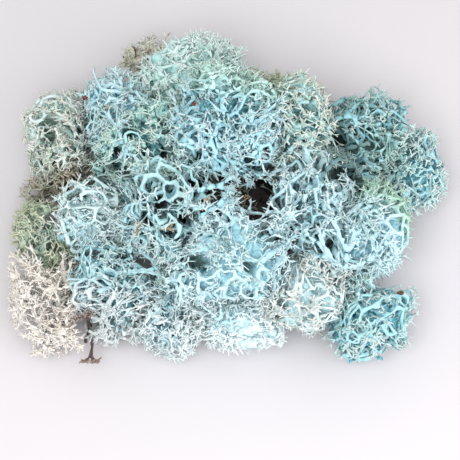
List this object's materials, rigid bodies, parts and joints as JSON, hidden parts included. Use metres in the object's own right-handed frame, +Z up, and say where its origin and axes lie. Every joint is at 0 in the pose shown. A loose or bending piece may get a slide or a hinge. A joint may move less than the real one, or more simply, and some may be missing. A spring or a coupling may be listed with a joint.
{
  "type": "reindeer moss clump",
  "caption": "Low heap of springy, finely forked reindeer moss: sky-blue, mint, teal and straw tufts that lean on each other, with scraps of bark caught in it.",
  "frame": {"origin": "on the ground, under the middle of the heap's footprint", "axes": "+X along the heap's longest side, +Y to its back, where it is narrower, +Z up"},
  "size_m": [0.1774, 0.1472, 0.0586],
  "materials": {
    "sky_lichen": "dyed sky-blue lichen, soft and matt",
    "mint_lichen": "dyed pale mint lichen, soft and matt",
    "teal_lichen": "dyed deep teal lichen, soft and matt",
    "olive_lichen": "thinly dyed grey-green lichen, soft and matt",
    "straw_lichen": "undyed straw-coloured lichen, soft and matt",
    "dead_lichen": "dark dead lichen at the foot of the heap",
    "brown_litter": "dark brown bark and bud scale"
  },
  "bodies": {
    "root": {"centre_base_tuft": "dead_lichen", "rear_top_tuft": "mint_lichen", "rear_stray_tuft": "straw_lichen", "rear_right_tuft": "olive_lichen", "right_rear_tuft": "teal_lichen", "right_edge_tuft": "mint_lichen", "left_rear_tuft": "sky_lichen", "left_far_tuft": "olive_lichen", "left_dark_tuft": "dead_lichen", "left_mid_tuft": "sky_lichen", "left_olive_tuft": "olive_lichen", "left_front_tuft": "straw_lichen", "front_left_tuft": "sky_lichen", "front_mid_tuft": "sky_lichen", "front_centre_tuft": "sky_lichen", "front_right_tuft": "mint_lichen", "centre_top_tuft": "sky_lichen", "cream_tuft": "mint_lichen", "rear_middle_tuft": "mint_lichen", "centre_left_tuft": "sky_lichen", "centre_right_tuft": "sky_lichen", "right_mid_tuft": "sky_lichen", "right_low_tuft": "mint_lichen", "centre_low_tuft": "sky_lichen", "top_bark_scrap": "brown_litter", "bud_scale_scrap": "brown_litter", "left_bark_scrap": "brown_litter"}
  },
  "joints": []
}
